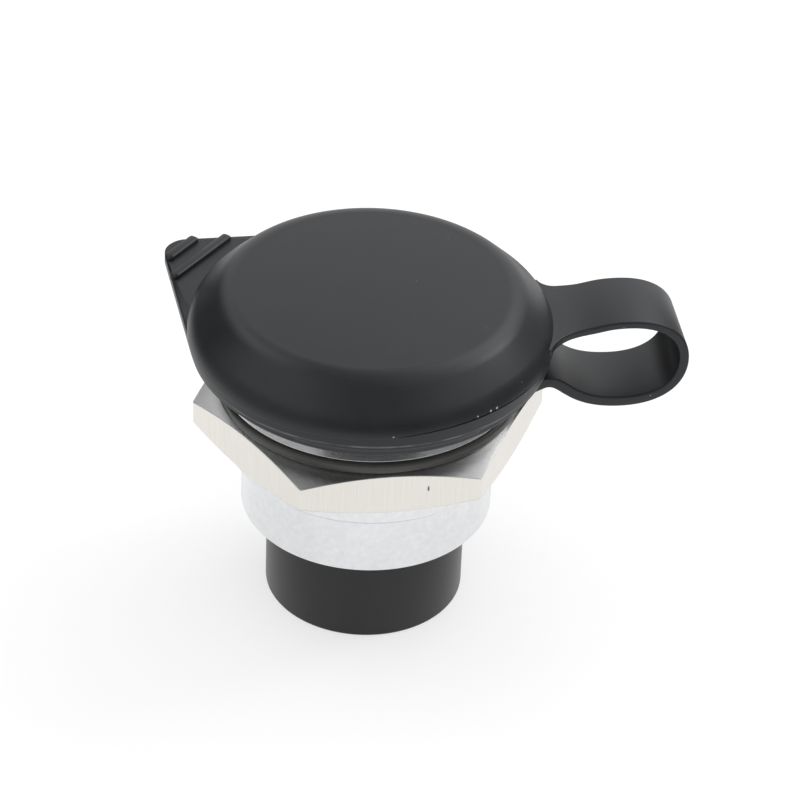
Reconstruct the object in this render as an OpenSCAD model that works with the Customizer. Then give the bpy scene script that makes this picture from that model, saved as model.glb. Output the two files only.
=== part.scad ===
// Panel mount adapter: a threaded metal housing with a socket at each end,
// a hexagon panel nut, and a rubber cap held by a strap and a ring.
// Millimetres. The axis is +Z, the rear face stands on z = 0 and the strap points along +X.

/* [Rear body] */
// Outside diameter of the black rear body
base_d = 15.8; // [15:0.1:17]
// Length of the rear body below the barrel
base_h = 8.3; // [7.5:0.1:10]
// Bevel round the rear face
base_bevel = 0.15; // [0.1:0.05:0.5]
// Length of the neck inside the barrel
base_neck_h = 4; // [3:0.25:5]

/* [Housing] */
// Outside diameter of the plain barrel
barrel_d = 19.9; // [18.5:0.1:20.2]
// Length of the plain barrel
barrel_h = 5.1; // [4:0.1:7]
// Bevel at the lower edge of the barrel
barrel_bevel = 0.1; // [0.05:0.05:0.4]
// Bore through barrel and thread
bore_d = 13.4; // [12.6:0.1:14]
// Major diameter of the panel thread
thread_d = 22; // [21:0.1:25]
// Length of the thread, from the barrel to the flange
thread_l = 6.8; // [6:0.1:9]
// Lead chamfer at the lower end of the thread
thread_lead = 0.5; // [0.2:0.05:0.8]
// How far the flange stands out past the thread
flange_reach = 0.8; // [0.6:0.05:1.6]
// Height of the flange
flange_h = 5.4; // [5:0.1:7]
// Bevel at the lower edge of the flange
flange_under_bevel = 0.05; // [0.03:0.01:0.1]
// Height of the flange's upright edge
flange_edge_h = 0.15; // [0.12:0.01:0.4]
// Lean of the taper above that edge, in degrees from upright
flange_taper = 22; // [18:1:30]
// Depth of the taper, from the edge to the collar inside the cap
flange_step = 0.4; // [0.2:0.05:0.8]
// Bevel round the front face of the collar
collar_bevel = 0.6; // [0.3:0.1:0.7]
// Diameter of the seat for the front insert
seat_d = 16.9; // [16:0.1:18]
// Depth of that seat below the front face
seat_depth = 3; // [2:0.1:4]

/* [Panel nut] */
// Wall of the nut at the middle of a flat
nut_wall = 1; // [0.8:0.1:2.5]
// Thickness of the nut
nut_h = 3.7; // [3:0.1:4.4]
// Width of the flat ring on each face of the nut
nut_land = 0.6; // [0.3:0.1:0.8]
// Slope of the chamfer on the corners, in degrees
nut_chamfer = 22; // [15:1:30]
// Radial play between nut and thread
thread_play = 0.05; // [0.03:0.01:0.1]

/* [Tether] */
// Width of the ring under the flange
ring_w = 0.9; // [0.6:0.05:1.2]
// Thickness of that ring
ring_t = 0.95; // [0.7:0.05:1.3]
// Radial play between ring and thread
ring_play = 0.1; // [0.05:0.05:0.3]
// Gap between ring and nut
ring_gap = 0.05; // [0.02:0.01:0.1]
// Width of the strap
strap_w = 6.2; // [4:0.1:8]
// Thickness of the strap from the ring to the loop
strap_t = 0.9; // [0.7:0.02:0.92]
// Thickness of the strap where it joins the cap
strap_cap_t = 0.64; // [0.5:0.02:0.9]
// How far the loop reaches past the wall of the cap
loop_l = 10.4; // [9:0.1:14]
// How far the loop hangs below the ring
loop_drop = 1.6; // [0.5:0.1:2.5]
// How far the loop rises above its root on the cap
loop_rise = 0.45; // [0:0.05:1]

/* [Cap] */
// Radial play between cap and collar
cap_play = 0.4; // [0.35:0.05:0.6]
// Thickness of the side wall
cap_wall = 2.4; // [2:0.1:2.8]
// Thickness of the top
cap_top_t = 2; // [1.6:0.1:2.4]
// Free height above the flange
cap_headroom = 0.5; // [0.4:0.1:1]
// Gap between the cap's edge and the taper of the flange
skirt_gap = 1.66; // [1.2:0.02:2]
// Height of the upright wall above that edge
cap_wall_h = 1.8; // [1.5:0.1:2]
// Height of the recessed lip below the rim
lip_h = 1.2; // [0.6:0.1:1.3]
// Depth of the lip's recess
lip_step = 0.15; // [0.05:0.05:0.3]
// Rounding where the wall turns into the slope
shoulder_r = 1.2; // [0.6:0.1:1.5]
// Rounding where the slope turns into the flat top
crown_r = 2.4; // [1.5:0.1:3]
// Slope of the cap between them, in degrees
cap_slope = 45; // [40:1:50]
// Distance of the sealing rib's middle from the side of the collar
seal_inset = 1.8; // [1.4:0.1:2.2]
// Width of the sealing rib
seal_w = 0.9; // [0.5:0.1:1.2]
// Gap left between sealing rib and flange
seal_gap = 0.1; // [0.05:0.05:0.2]
// Gap between the strap's root on the cap and the strap
root_gap = 0.05; // [0.02:0.01:0.1]
// Length of the strap's root past its fillets
root_l = 0.2; // [0.1:0.05:0.6]
// Fillet on the front side of the strap's root
root_front_r = 4; // [2:0.1:4.5]
// Fillet on the back side of the strap's root
root_back_r = 1.4; // [0.8:0.1:4]
// Height of the strap's root above the start of the slope
root_rise = 0.1; // [0:0.05:0.4]

/* [Pull tab] */
// Direction of the tab, in degrees from the strap
tab_angle = 137; // [90:1:180]
// How far the tab reaches past the wall of the cap
tab_l = 5.4; // [4:0.1:8]
// Rounding of the tip
tab_tip_r = 1.9; // [1.2:0.1:2.5]
// Thickness of the tab
tab_t = 0.9; // [0.6:0.1:1]
// Distance of the tab's top below the start of the slope
tab_drop = 0.7; // [0.3:0.1:0.8]
// Diameter of the raised ribs
rib_d = 0.85; // [0.6:0.05:1.2]
// Depth of a rib's centre line below the tab's top
rib_sink = 0.05; // [0.03:0.01:0.2]
// Distance of the outer rib from the tip of the tab
rib_tip = 1.2; // [1:0.1:1.6]
// Spacing of the ribs
rib_step = 1.9; // [1.4:0.1:2]
// Number of ribs
rib_count = 2; // [1:1:2]
// Distance of the rib ends from the edge of the tab
rib_inset = 0.45; // [0.3:0.05:0.8]

/* [Sockets] */
// Width of the socket opening
port_w = 8.34; // [8.2:0.02:8.5]
// Height of the socket opening
port_h = 2.56; // [2.4:0.02:2.7]
// Sheet thickness of the socket shell
shell_t = 0.3; // [0.2:0.05:0.4]
// Length of the socket shell
shell_l = 8; // [7:0.1:8.2]
// Width of the tongue
tongue_w = 6.69; // [6.3:0.01:7]
// Thickness of the tongue
tongue_t = 0.7; // [0.66:0.02:0.76]
// Distance of the tongue's tip from the socket's mouth
tongue_recess = 0.9; // [0.4:0.1:1.5]
// Length of the moulded block behind the tongue
block_l = 2.4; // [1.5:0.1:3]
// Thickness of the steel plate inside the tongue
plate_t = 0.15; // [0.1:0.01:0.2]
// Distance of that plate from the tip of the tongue
plate_inset = 0.3; // [0.2:0.05:0.6]
// Number of contacts on each side of the tongue
contact_count = 12; // [2:1:12]
// Spacing of the contacts
contact_pitch = 0.5; // [0.45:0.01:0.52]
// Width of a contact
contact_w = 0.26; // [0.2:0.01:0.3]
// Thickness of a contact
contact_t = 0.1; // [0.08:0.01:0.14]
// Distance of the contact's end from the tip of the tongue
contact_inset = 0.5; // [0.2:0.1:1]
// Length of the tails on the board
tail_l = 1.2; // [0.6:0.1:1.6]
// Distance of the socket's mouth behind the face around it
mouth_recess = 0.1; // [0:0.05:0.3]

/* [Insert and board] */
// Distance of the insert's face behind the front of the flange
face_recess = 0.4; // [0.2:0.1:1]
// Length of the narrow guide for the board behind each socket
guide_l = 2; // [1.5:0.1:2.5]
// Width of the board
board_w = 8; // [7.4:0.1:8.2]
// Thickness of the board
board_t = 0.6; // [0.5:0.02:0.62]
// Gap above a contact in the guide
guide_gap = 0.15; // [0.1:0.05:0.3]
// Play between parts that slide together
slip = 0.05; // [0.03:0.01:0.08]
// Play between moulded parts and metal
mould_fit = 0.02; // [0.01:0.01:0.03]

/* [Hidden] */
$fn = 96;
eps = 0.01;
curve_steps = 16;
arc_steps = 8;

// Shape of the loop, as shares of its length: its crest by the flange, its lowest and highest places,
// and the curves' handles
crest_share = 0.19;
crest_lift = 0.045;
low_share = 0.6;
high_share = 0.64;
foot_pull = 0.04;
crest_pull = 0.1;
low_pull = 0.28;
low_tilt = 0.018;
high_pull = 0.24;
root_pull = 0.1;
tip_pull = 0.58;

z_barrel = base_h;
z_thread = z_barrel + barrel_h;
z_flange = z_thread + thread_l;
z_front = z_flange + flange_h;
z_seat = z_front - seat_depth;
z_face = z_front - face_recess;
z_nut_top = z_flange - ring_t - ring_gap;
z_nut = z_nut_top - nut_h;
z_ring_mid = z_flange - ring_t / 2;

front_mouth = z_face - mouth_recess;
rear_mouth = mouth_recess;
front_back = front_mouth - shell_l;
rear_back = rear_mouth + shell_l;
shell_w = port_w + 2 * shell_t;
shell_h = port_h + 2 * shell_t;
contact_end = shell_l + tail_l;

thread_r = thread_d / 2;
nut_af = thread_d + 2 * nut_wall;
nut_face_r = thread_r + nut_land;
ring_in_r = thread_r + ring_play;
ring_r = ring_in_r + ring_w;
flange_r = thread_r + flange_reach;
collar_r = flange_r - flange_step;
z_collar = z_flange + flange_edge_h + flange_step / tan(flange_taper);
cap_in_r = collar_r + cap_play;
cap_r = cap_in_r + cap_wall;
seal_r = collar_r - seal_inset;
tab_reach = cap_r + tab_l;
loop_reach = cap_r + loop_l;
z_skirt = z_collar + skirt_gap;
z_shoulder = z_skirt + cap_wall_h;
z_cap_in = z_front + cap_headroom;
z_cap_top = z_cap_in + cap_top_t;
slope_normal = 90 - cap_slope;
crown_c = cap_r - shoulder_r + ((z_shoulder - z_cap_top + crown_r) * sin(slope_normal)
          + shoulder_r - crown_r) / cos(slope_normal);

z_root = z_shoulder + root_rise;
root_front = root_fillet(root_front_r);
root_back = root_fillet(root_back_r);
root_end = max(root_front[0], root_back[0]) + root_l;
z_tab = z_shoulder - tab_drop;

lip_r = cap_r - lip_step;
tab_c = tab_reach - tab_tip_r;
tab_turn = acos((lip_r - tab_tip_r) / tab_c);

function arc(cx, cz, r, from, to) =
    [for (i = [0 : arc_steps])
        let (a = from + (to - from) * i / arc_steps)
        [cx + r * cos(a), cz + r * sin(a)]];

function bezier(p, t) =
    pow(1 - t, 3) * p[0] + 3 * t * pow(1 - t, 2) * p[1] + 3 * t * t * (1 - t) * p[2] + pow(t, 3) * p[3];

function bezier_slope(p, t) =
    3 * pow(1 - t, 2) * (p[1] - p[0]) + 6 * t * (1 - t) * (p[2] - p[1]) + 3 * t * t * (p[3] - p[2]);

function left_of(v) = [-v[1], v[0]] / norm(v);

// Centre of a fillet of radius r between the round wall of the cap and the side of the strap
function root_fillet(r) =
    let (y = strap_w / 2 + r)
    [sqrt(pow(cap_r + r, 2) - y * y), y];

// A slot outline with fully round ends, centred on the axis
module slot_outline(w, h) {
    square([w - h, h], center = true);
    for (side = [-1, 1])
        translate([side * (w - h) / 2, 0])
            circle(d = h);
}

module slot_block(w, h, z, l) {
    translate([0, 0, z])
        linear_extrude(l)
            slot_outline(w, h);
}

// Places a socket, drawn mouth down from z = 0, at one end of the adapter
module at_front() {
    translate([0, 0, front_mouth])
        mirror([0, 0, 1])
            children();
}

module at_rear() {
    translate([0, 0, rear_mouth])
        children();
}

// The passage for one socket: the shell's pocket and the board guide behind it
module socket_pocket() {
    slot_block(shell_w + 2 * slip, shell_h + 2 * slip, -mouth_recess - eps, shell_l + mouth_recess + eps);
    guide_h = board_t + 2 * (contact_t + guide_gap);
    translate([-board_w / 2 - slip, -guide_h / 2, shell_l - eps])
        cube([board_w + 2 * slip, guide_h, z_front]);
}

module housing() {
    color("#dfe2e4")
        rotate_extrude()
            polygon([
                [bore_d / 2, z_barrel],
                [barrel_d / 2 - barrel_bevel, z_barrel],
                [barrel_d / 2, z_barrel + barrel_bevel],
                [barrel_d / 2, z_thread],
                [thread_r - thread_lead, z_thread],
                [thread_r, z_thread + thread_lead],
                [thread_r, z_flange],
                [flange_r - flange_under_bevel, z_flange],
                [flange_r, z_flange + flange_under_bevel],
                [flange_r, z_flange + flange_edge_h],
                [collar_r, z_collar],
                [collar_r, z_front - collar_bevel],
                [collar_r - collar_bevel, z_front],
                [seat_d / 2, z_front],
                [seat_d / 2, z_seat],
                [bore_d / 2, z_seat]
            ]);
}

module panel_nut() {
    corner_r = nut_af / sqrt(3);
    drop = (corner_r - nut_face_r) * tan(nut_chamfer);
    color("#d9d6cf")
        translate([0, 0, z_nut])
            difference() {
                intersection() {
                    cylinder(r = corner_r, h = nut_h, $fn = 6);
                    rotate_extrude()
                        polygon([
                            [0, 0],
                            [nut_face_r, 0],
                            [corner_r, drop],
                            [corner_r, nut_h - drop],
                            [nut_face_r, nut_h],
                            [0, nut_h]
                        ]);
                }
                translate([0, 0, -eps])
                    cylinder(r = thread_r + thread_play, h = nut_h + 2 * eps);
            }
}

module rear_body() {
    color("#2b2b2b")
        difference() {
            rotate_extrude()
                polygon([
                    [0, 0],
                    [base_d / 2 - base_bevel, 0],
                    [base_d / 2, base_bevel],
                    [base_d / 2, z_barrel],
                    [bore_d / 2 - slip, z_barrel],
                    [bore_d / 2 - slip, z_barrel + base_neck_h],
                    [0, z_barrel + base_neck_h]
                ]);
            at_rear()
                socket_pocket();
        }
}

module front_insert() {
    color("#1f1f1f")
        difference() {
            rotate_extrude()
                polygon([
                    [0, front_back - guide_l],
                    [bore_d / 2 - slip, front_back - guide_l],
                    [bore_d / 2 - slip, z_seat],
                    [seat_d / 2 - slip, z_seat],
                    [seat_d / 2 - slip, z_face],
                    [0, z_face]
                ]);
            at_front()
                socket_pocket();
        }
}

module socket_shell() {
    difference() {
        slot_block(shell_w, shell_h, 0, shell_l);
        slot_block(port_w, port_h, -eps, shell_l + 2 * eps);
    }
}

module contact_bar(play) {
    start = tongue_recess + contact_inset;
    translate([-contact_w / 2 - play, board_t / 2 - play, start - play])
        cube([contact_w + 2 * play, contact_t + 2 * play, contact_end - start + 2 * play]);
}

// The contacts on one side of the tongue
module contact_row(play) {
    for (i = [0 : contact_count - 1])
        translate([(i - (contact_count - 1) / 2) * contact_pitch, 0, 0])
            contact_bar(play);
}

// The plate between the two rows, flush with the sides of the tongue
module mid_plate(play) {
    start = tongue_recess + plate_inset;
    translate([-tongue_w / 2 - play, -plate_t / 2 - play, start - play])
        cube([tongue_w + 2 * play, plate_t + 2 * play, shell_l - start + 2 * play]);
}

module socket_tongue() {
    difference() {
        union() {
            translate([-tongue_w / 2, -tongue_t / 2, tongue_recess])
                cube([tongue_w, tongue_t, shell_l - tongue_recess]);
            slot_block(port_w - 2 * mould_fit, port_h - 2 * mould_fit, shell_l - block_l, block_l);
        }
        mid_plate(mould_fit);
        contact_row(mould_fit);
        rotate(180)
            contact_row(mould_fit);
    }
}

module front_port_shell() {
    color("#c4c6c8")
        at_front()
            socket_shell();
}

module front_tongue() {
    color("#191919")
        at_front()
            socket_tongue();
}

module front_mid_plate() {
    color("#c4c6c8")
        at_front()
            mid_plate(0);
}

module front_contacts_a() {
    color("#d4af5a")
        at_front()
            contact_row(0);
}

module front_contacts_b() {
    color("#d4af5a")
        at_front()
            rotate(180)
                contact_row(0);
}

module rear_port_shell() {
    color("#c4c6c8")
        at_rear()
            socket_shell();
}

module rear_tongue() {
    color("#191919")
        at_rear()
            socket_tongue();
}

module rear_mid_plate() {
    color("#c4c6c8")
        at_rear()
            mid_plate(0);
}

module rear_contacts_a() {
    color("#d4af5a")
        at_rear()
            contact_row(0);
}

module rear_contacts_b() {
    color("#d4af5a")
        at_rear()
            rotate(180)
                contact_row(0);
}

module circuit_board() {
    color("#1f5c3a")
        translate([-board_w / 2, -board_t / 2, rear_back + mould_fit])
            cube([board_w, board_t, front_back - rear_back - 2 * mould_fit]);
}

// The strap's side view: smooth curves from the ring, round the loop and back to the cap
module strap_outline() {
    ring_end = [ring_r - strap_t, z_ring_mid];
    cap_end = [root_end + root_gap, z_root];
    tip_t = (strap_t + strap_cap_t) / 2;
    tip = [loop_reach - tip_t / 2, (z_ring_mid - loop_drop + z_root + loop_rise) / 2];
    span = tip[0] - ring_end[0];
    foot = [flange_r, z_ring_mid];
    crest = [ring_end[0] + span * crest_share, z_ring_mid + span * crest_lift];
    low = [ring_end[0] + span * low_share, z_ring_mid - loop_drop];
    high = [ring_end[0] + span * high_share, z_root + loop_rise];
    foot_handle = span * [foot_pull, 0];
    crest_handle = span * [crest_pull, 0];
    low_handle = span * [low_pull, -low_tilt];
    tip_handle = [0, (high[1] - tip[1]) * tip_pull];
    high_handle = span * [high_pull, 0];
    root_handle = span * [root_pull, 0];
    curves = [
        [ring_end, ring_end + (foot - ring_end) / 3, foot - (foot - ring_end) / 3, foot],
        [foot, foot + foot_handle, crest - foot_handle, crest],
        [crest, crest + crest_handle, low - low_handle, low],
        [low, low + low_handle, tip - tip_handle, tip],
        [tip, tip + tip_handle, high + high_handle, high],
        [high, high - root_handle, cap_end + root_handle, cap_end]
    ];
    thick = [strap_t, strap_t, strap_t, strap_t, tip_t, strap_cap_t, strap_cap_t];
    function middle(s) = bezier(curves[s[0]], s[1]);
    function side(s) =
        left_of(bezier_slope(curves[s[0]], s[1])) * (thick[s[0]] * (1 - s[1]) + thick[s[0] + 1] * s[1]) / 2;
    steps = [for (k = [0 : len(curves) - 1], i = [0 : curve_steps - 1]) [k, i / curve_steps]];
    path = concat(steps, [[len(curves) - 1, 1]]);
    upper = [for (s = path) middle(s) + side(s)];
    lower = [for (i = [len(path) - 1 : -1 : 0]) middle(path[i]) - side(path[i])];
    polygon(concat(upper, lower));
}

module tether() {
    color("#2a2b2d") {
        translate([0, 0, z_flange - ring_t])
            difference() {
                cylinder(r = ring_r, h = ring_t);
                translate([0, 0, -eps])
                    cylinder(r = ring_in_r, h = ring_t + 2 * eps);
            }
        translate([0, strap_w / 2, 0])
            rotate([90, 0, 0])
                linear_extrude(strap_w)
                    strap_outline();
    }
}

module cap_shell_outline() {
    polygon(concat(
        [
            [0, z_skirt],
            [lip_r, z_skirt],
            [lip_r, z_skirt + lip_h - lip_step],
            [cap_r, z_skirt + lip_h]
        ],
        arc(cap_r - shoulder_r, z_shoulder, shoulder_r, 0, slope_normal),
        arc(crown_c, z_cap_top - crown_r, crown_r, slope_normal, 90),
        [[0, z_cap_top]]
    ));
}

module cap_space_outline() {
    seal_z = z_front + seal_gap;
    polygon([
        [0, z_skirt - eps],
        [cap_in_r, z_skirt - eps],
        [cap_in_r, z_cap_in - collar_bevel - cap_play],
        [collar_r - collar_bevel, z_cap_in],
        [seal_r + seal_w / 2, z_cap_in],
        [seal_r + seal_w / 2, seal_z],
        [seal_r - seal_w / 2, seal_z],
        [seal_r - seal_w / 2, z_cap_in],
        [0, z_cap_in]
    ]);
}

// Tab outline: two lines that touch both the lip and the round tip
module tab_outline() {
    polygon(concat(
        [[0, 0], lip_r * [cos(tab_turn), -sin(tab_turn)]],
        arc(tab_c, 0, tab_tip_r, -tab_turn, tab_turn),
        [lip_r * [cos(tab_turn), sin(tab_turn)]]
    ));
}

// Half length of a rib at a distance from the axis, up to the edge of the tab
function rib_half(x) = (lip_r - x * cos(tab_turn)) / sin(tab_turn) - rib_inset;

// A round bar with domed ends, lying across the tab
module tab_rib(x) {
    half = rib_half(x);
    translate([x, 0, z_tab - rib_sink])
        rotate([90, 0, 0])
            rotate_extrude()
                polygon(concat(arc(0, -half, rib_d / 2, -90, 0), arc(0, half, rib_d / 2, 0, 90)));
}

module pull_tab() {
    rotate(tab_angle) {
        translate([0, 0, z_tab - tab_t])
            linear_extrude(tab_t)
                tab_outline();
        for (i = [0 : rib_count - 1])
            tab_rib(tab_reach - rib_tip - i * rib_step);
    }
}

// The strap's root, filleted into the round wall of the cap on both sides
module strap_root() {
    front_touch = root_front * cap_r / norm(root_front);
    back_touch = root_back * cap_r / norm(root_back);
    translate([0, 0, z_root - strap_cap_t / 2])
        linear_extrude(strap_cap_t)
            difference() {
                polygon([
                    [0, -front_touch[1]],
                    [front_touch[0], -front_touch[1]],
                    [root_front[0], -strap_w / 2],
                    [root_end, -strap_w / 2],
                    [root_end, strap_w / 2],
                    [root_back[0], strap_w / 2],
                    back_touch,
                    [0, back_touch[1]]
                ]);
                translate([root_front[0], -root_front[1]])
                    circle(r = root_front_r);
                translate(root_back)
                    circle(r = root_back_r);
            }
}

module cap() {
    color("#303133")
        difference() {
            union() {
                rotate_extrude()
                    cap_shell_outline();
                pull_tab();
                strap_root();
            }
            rotate_extrude()
                cap_space_outline();
        }
}

housing();
panel_nut();
rear_body();
front_insert();
front_port_shell();
front_tongue();
front_mid_plate();
front_contacts_a();
front_contacts_b();
rear_port_shell();
rear_tongue();
rear_mid_plate();
rear_contacts_a();
rear_contacts_b();
circuit_board();
tether();
cap();
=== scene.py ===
# %% [markdown]
# # A capped panel adapter
# The real object is a threaded metal housing with a socket at each end. A hexagon nut clamps it to a
# panel, and a rubber cap hangs on a strap whose ring sits under the flange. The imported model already
# has every piece at its real size, so this lesson only dresses it: rounder meshes where the photograph
# shows soft edges, and a finish for every surface. Loading comes first, because each piece built here
# rides on one of the bodies that the frame holds.

# %% Load the frame
import math

import bmesh
import bpy
import numpy as np
from mathutils import Matrix, Vector


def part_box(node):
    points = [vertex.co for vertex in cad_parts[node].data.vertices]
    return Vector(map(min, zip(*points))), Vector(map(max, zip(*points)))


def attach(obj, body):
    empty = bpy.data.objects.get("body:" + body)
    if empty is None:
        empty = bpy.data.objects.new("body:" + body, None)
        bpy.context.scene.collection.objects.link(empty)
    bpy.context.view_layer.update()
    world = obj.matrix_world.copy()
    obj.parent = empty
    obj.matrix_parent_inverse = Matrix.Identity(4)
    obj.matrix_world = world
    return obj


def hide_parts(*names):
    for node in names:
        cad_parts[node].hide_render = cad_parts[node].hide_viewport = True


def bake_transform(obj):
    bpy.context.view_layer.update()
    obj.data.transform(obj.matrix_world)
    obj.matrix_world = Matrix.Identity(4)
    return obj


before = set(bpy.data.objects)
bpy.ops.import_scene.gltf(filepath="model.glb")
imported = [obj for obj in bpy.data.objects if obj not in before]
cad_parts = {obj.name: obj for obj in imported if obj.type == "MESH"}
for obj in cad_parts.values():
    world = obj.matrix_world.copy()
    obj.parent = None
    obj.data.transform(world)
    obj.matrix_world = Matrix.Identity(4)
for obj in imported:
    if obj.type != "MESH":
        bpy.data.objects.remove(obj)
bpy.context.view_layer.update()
MM = 0.001


def span(node):
    """Lowest and highest corner of a node, in millimetres."""
    low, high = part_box(node)
    return np.array(low) / MM, np.array(high) / MM


# %% [markdown]
# ## One way to build round pieces
# Nearly everything on this object was turned, moulded round an axis or extruded, so one tool can make
# it: a stack of rings with the same number of points, joined by quads. Blender's Screw modifier could
# spin a profile too, but rings also take a radius that changes with the angle. That gives the hexagon
# of the nut, the slots of the sockets and the thread with the same few lines.

# %% Rings
SIDES = 288
TURN = np.arange(SIDES) * 2 * np.pi / SIDES


def ring(radius, z, turn=TURN):
    """A loop of points round the axis. Radius and height are numbers, or one value for each angle."""
    radius = radius + 0 * turn
    height = z + 0 * turn
    return np.stack([radius * np.cos(turn), radius * np.sin(turn), height], axis=1)


print("points in a ring:", SIDES)


# %% Lofts
def loft(bm, rings, closed=False, ends=False, bands=None, round_trip=True):
    """Joins rings by quads. Closed joins the last to the first, and ends puts a face on both.

    Without a round trip, each ring stays open between its last point and its first.
    """
    rows = [[bm.verts.new(Vector(p) * MM) for p in points] for points in rings]
    count = len(rows[0])
    last = len(rows) if closed else len(rows) - 1
    for i in range(last):
        lower = rows[i]
        upper = rows[(i + 1) % len(rows)]
        for k in range(count if round_trip else count - 1):
            n = (k + 1) % count
            face = bm.faces.new((lower[k], lower[n], upper[n], upper[k]))
            face.material_index = bands[i] if bands else 0
    if ends:
        bm.faces.new(rows[0][::-1])
        bm.faces.new(rows[-1])


# %% Profiles
def softened(corners, closed=True, steps=4):
    """A profile of (radius, height, setback) corners.

    A corner with a setback becomes a short curve, which takes at most half of the line on each side.
    """
    points = []
    for i, (r, z, setback) in enumerate(corners):
        here = np.array([r, z])
        if setback == 0 or (not closed and i in (0, len(corners) - 1)):
            points.append(here)
            continue
        to_last = np.array(corners[i - 1][:2]) - here
        to_next = np.array(corners[(i + 1) % len(corners)][:2]) - here
        start = here + to_last * min(setback / np.linalg.norm(to_last), 0.5)
        end = here + to_next * min(setback / np.linalg.norm(to_next), 0.5)
        for t in np.linspace(0, 1, steps + 1):
            points.append((1 - t) ** 2 * start + 2 * t * (1 - t) * here + t * t * end)
    return points


def turned(corners, closed=True):
    """Rings of a softened profile."""
    return [ring(r, z) for r, z in softened(corners, closed)]


# %% [markdown]
# ## From a mesh to a piece
# A piece needs more than a mesh: smooth shading that stops at the true edges, a material, the body it
# moves with and the node it stands for. One helper does all of that, so that no
# piece misses a step. Points that fall together on the axis are merged there too.

# %% Finished pieces
MERGE = 1e-7
SHARP_ANGLE = math.radians(38)


def piece(name, bm, finishes, node, body=None):
    """Turns a bmesh into a finished object. Without a body it is left free."""
    bmesh.ops.remove_doubles(bm, verts=bm.verts, dist=MERGE)
    loose = [e for e in bm.edges if not e.link_faces]
    bmesh.ops.delete(bm, geom=loose, context="EDGES")
    bmesh.ops.recalc_face_normals(bm, faces=bm.faces)
    mesh = bpy.data.meshes.new(name)
    bm.to_mesh(mesh)
    bm.free()
    mesh.shade_smooth()
    mesh.set_sharp_from_angle(angle=SHARP_ANGLE)
    for finish in finishes:
        mesh.materials.append(finish)
    made = bpy.data.objects.new(name, mesh)
    bpy.context.scene.collection.objects.link(made)
    if body:
        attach(made, body)
    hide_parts(node)
    print(f"{name}: {len(mesh.polygons)} faces")
    return made


# %% [markdown]
# ## Shader sums that read like sums
# Procedural finishes are mostly arithmetic on noise. Written node by node, that arithmetic is hard to
# follow, so a small class wraps a socket and lets plain operators add the Math nodes. Everything else
# comes from one method that sets a node's settings first and its sockets after.

# %% A wire
class Wire:
    """A value that runs out of a node. Operators on it add Math nodes."""

    def __init__(self, bench, socket):
        self.bench = bench
        self.socket = socket

    def sum(self, operation, a, b):
        return self.bench.node("ShaderNodeMath", {"operation": operation}, {0: a, 1: b})

    def __add__(self, other):
        return self.sum("ADD", self, other)

    def __sub__(self, other):
        return self.sum("SUBTRACT", self, other)

    def __rsub__(self, other):
        return self.sum("SUBTRACT", other, self)

    def __mul__(self, other):
        return self.sum("MULTIPLY", self, other)

    def __gt__(self, other):
        return self.sum("GREATER_THAN", self, other)

    def __lt__(self, other):
        return self.sum("LESS_THAN", self, other)

    __radd__ = __add__
    __rmul__ = __mul__

    def ease(self, low, high):
        """0 below low, 1 above high and a smooth step between. High may be the smaller one."""
        return self.bench.node("ShaderNodeMapRange", {"interpolation_type": "SMOOTHSTEP"},
                               {"Value": self, "From Min": low, "From Max": high})


# %% A bench of nodes
SPECK_CORE = 0.6
SPOT_CORE = 0.5


class Bench:
    """Adds nodes to one node tree. The cores are the share of a speck or spot inside its soft edge."""

    def __init__(self, tree):
        self.tree = tree

    def node(self, kind, settings, sockets, out=0):
        made = self.tree.nodes.new(kind)
        for key, value in settings.items():
            setattr(made, key, value)
        for key, value in sockets.items():
            self.plug(made.inputs[key], value)
        return Wire(self, made.outputs[out])

    def plug(self, socket, value):
        if isinstance(value, Wire):
            self.tree.links.new(value.socket, socket)
        else:
            socket.default_value = value

    def mix(self, share, first, second):
        """A colour between two colours."""
        return self.node("ShaderNodeMix", {"data_type": "RGBA"}, {0: share, 6: first, 7: second}, out=2)

    def place(self):
        """Where the surface is, in metres in the piece's own frame."""
        return self.node("ShaderNodeTexCoord", {}, {}, out="Object")

    def stretched(self, per_metre):
        """The place, scaled along each axis by itself."""
        return self.vector("MULTIPLY", self.place(), per_metre)

    def vector(self, operation, first, second):
        return self.node("ShaderNodeVectorMath", {"operation": operation}, {0: first, 1: second})

    def length(self, arrow):
        return self.node("ShaderNodeVectorMath", {"operation": "LENGTH"}, {0: arrow}, out="Value")

    def off_axis(self):
        """Distance from the object's axis, in metres."""
        return self.length(self.stretched((1.0, 1.0, 0.0)))

    def noise(self, scale, detail=2.0, where=None):
        """Soft noise from 0 to 1. Scale is the number of its patches in a metre of the place."""
        return self.node("ShaderNodeTexNoise", {}, {
            "Vector": where or self.place(), "Scale": scale, "Detail": detail})

    def specks(self, scale, size, share, where=None):
        """1 on small round spots, in that share of the cells. Size is in parts of a cell."""
        cell = {"Vector": where or self.place(), "Scale": scale}
        near = self.node("ShaderNodeTexVoronoi", {}, cell, out="Distance")
        tint = self.node("ShaderNodeTexVoronoi", {}, cell, out="Color")
        chance = self.node("ShaderNodeSeparateColor", {}, {0: tint}, out=0)
        return near.ease(size, size * SPECK_CORE) * (chance < share)

    def spot(self, centre, size):
        """1 close to a place and 0 away from it. Size is the half width along each axis, in metres."""
        offset = self.vector("SUBTRACT", self.place(), centre)
        away = self.length(self.vector("DIVIDE", offset, size))
        return away.ease(1.0, SPOT_CORE)

    def bump(self, height, depth):
        """A bumped normal. Depth is the height of a full step, in metres."""
        return self.node("ShaderNodeBump", {}, {"Height": height, "Distance": depth, "Strength": 1.0})


# %% From wires to a finish
def grey(level, tint=(1.0, 1.0, 1.0)):
    """A grey of that level, or a tint of it."""
    return (level * tint[0], level * tint[1], level * tint[2], 1.0)


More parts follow.
